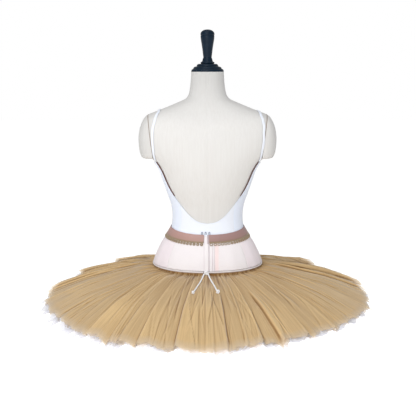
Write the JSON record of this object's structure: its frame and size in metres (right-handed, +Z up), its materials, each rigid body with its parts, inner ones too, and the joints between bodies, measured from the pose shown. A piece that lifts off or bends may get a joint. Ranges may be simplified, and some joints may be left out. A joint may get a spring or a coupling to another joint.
{
  "type": "ballet tutu on a dress form",
  "caption": "Ballet tutu with a low-backed bodice, elastic waistband, flared basque, drawstring and layered tulle skirt, worn by a limbless dress form.",
  "frame": {"origin": "on the table under the middle of the dress form's flat base", "axes": "+Z up, -Y towards the wearer's back, +X towards the wearer's right"},
  "size_m": [0.9846, 0.9446, 0.8892],
  "materials": {
    "linen": "plain woven off-white linen, matt",
    "black_wood": "turned wood with a satin black lacquer",
    "board": "bare board",
    "white_jersey": "smooth white stretch jersey",
    "brown_elastic": "matt brown elastic",
    "rose_satin": "rosy brown satin elastic",
    "olive_picot": "olive brown looped elastic edge",
    "grey_binding": "grey lilac binding tape",
    "pale_pink": "pale pink matt net over cotton",
    "steel": "blue grey hook and eye wire",
    "white_cord": "white twisted cotton cord",
    "gold_tulle": "stiff gold tan tulle, slightly sheer",
    "white_tulle": "stiff white tulle, sheer"
  },
  "bodies": {
    "root": {"form_torso": "linen", "form_arm_left": "linen", "form_arm_right": "linen", "form_neck_cap": "black_wood", "form_handle": "black_wood", "form_base_board": "board", "bodice_centre_back": "white_jersey", "bodice_side_back_right": "white_jersey", "bodice_side_back_left": "white_jersey", "bodice_side_front_right": "white_jersey", "bodice_side_front_left": "white_jersey", "bodice_centre_front": "white_jersey", "strap_left": "white_jersey", "strap_right": "white_jersey", "neck_binding_left": "brown_elastic", "neck_binding_right": "brown_elastic", "waistband_satin": "rose_satin", "waistband_picots": "olive_picot", "waistband_end_binding": "grey_binding", "basque_back_left": "pale_pink", "basque_back_right": "pale_pink", "basque_side_left": "pale_pink", "basque_side_right": "pale_pink", "basque_front": "pale_pink", "basque_placket": "pale_pink", "cord_casing": "pale_pink", "net_base": "pale_pink", "waist_hook_1": "steel", "waist_hook_2": "steel", "waist_hook_3": "steel", "drawstring_tie": "white_cord", "drawstring_left": "white_cord", "drawstring_right": "white_cord", "drawstring_left_knot": "white_cord", "drawstring_right_knot": "white_cord", "tulle_gold_top": "gold_tulle", "tulle_gold_upper": "gold_tulle", "tulle_gold_lower": "gold_tulle", "tulle_white_upper": "white_tulle", "tulle_white_lower": "white_tulle"}
  },
  "joints": []
}
